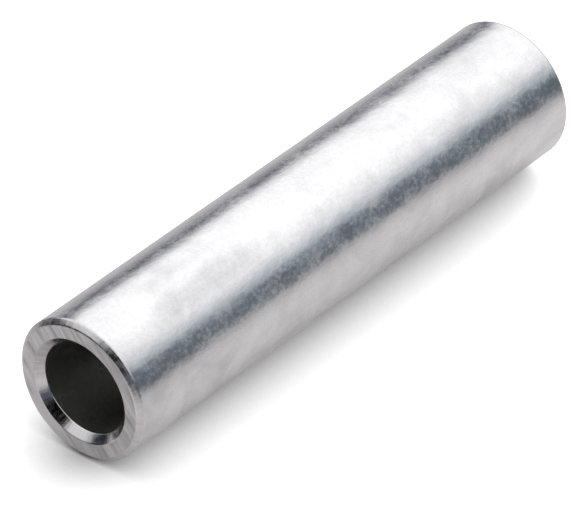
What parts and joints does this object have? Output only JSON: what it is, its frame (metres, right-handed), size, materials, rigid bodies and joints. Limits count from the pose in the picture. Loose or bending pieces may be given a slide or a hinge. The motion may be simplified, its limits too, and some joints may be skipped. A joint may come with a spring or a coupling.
{
  "type": "butt splice connector",
  "caption": "Bare aluminium compression sleeve with a blind conductor socket in each end, countersunk mouths and a solid stop web at mid-length, for joining cables end to end.",
  "frame": {"origin": "centre of the lower end face, on the sleeve's axis", "axes": "+Z along the sleeve's axis, from the lower end to the upper end; X and Y are across it and alike"},
  "size_m": [0.0286, 0.0284, 0.125],
  "materials": {
    "bare_aluminium": "bare drawn aluminium, satin, with a faint cloudy mottle; sawn end faces"
  },
  "bodies": {
    "root": {"splice_sleeve": "bare_aluminium"}
  },
  "joints": []
}
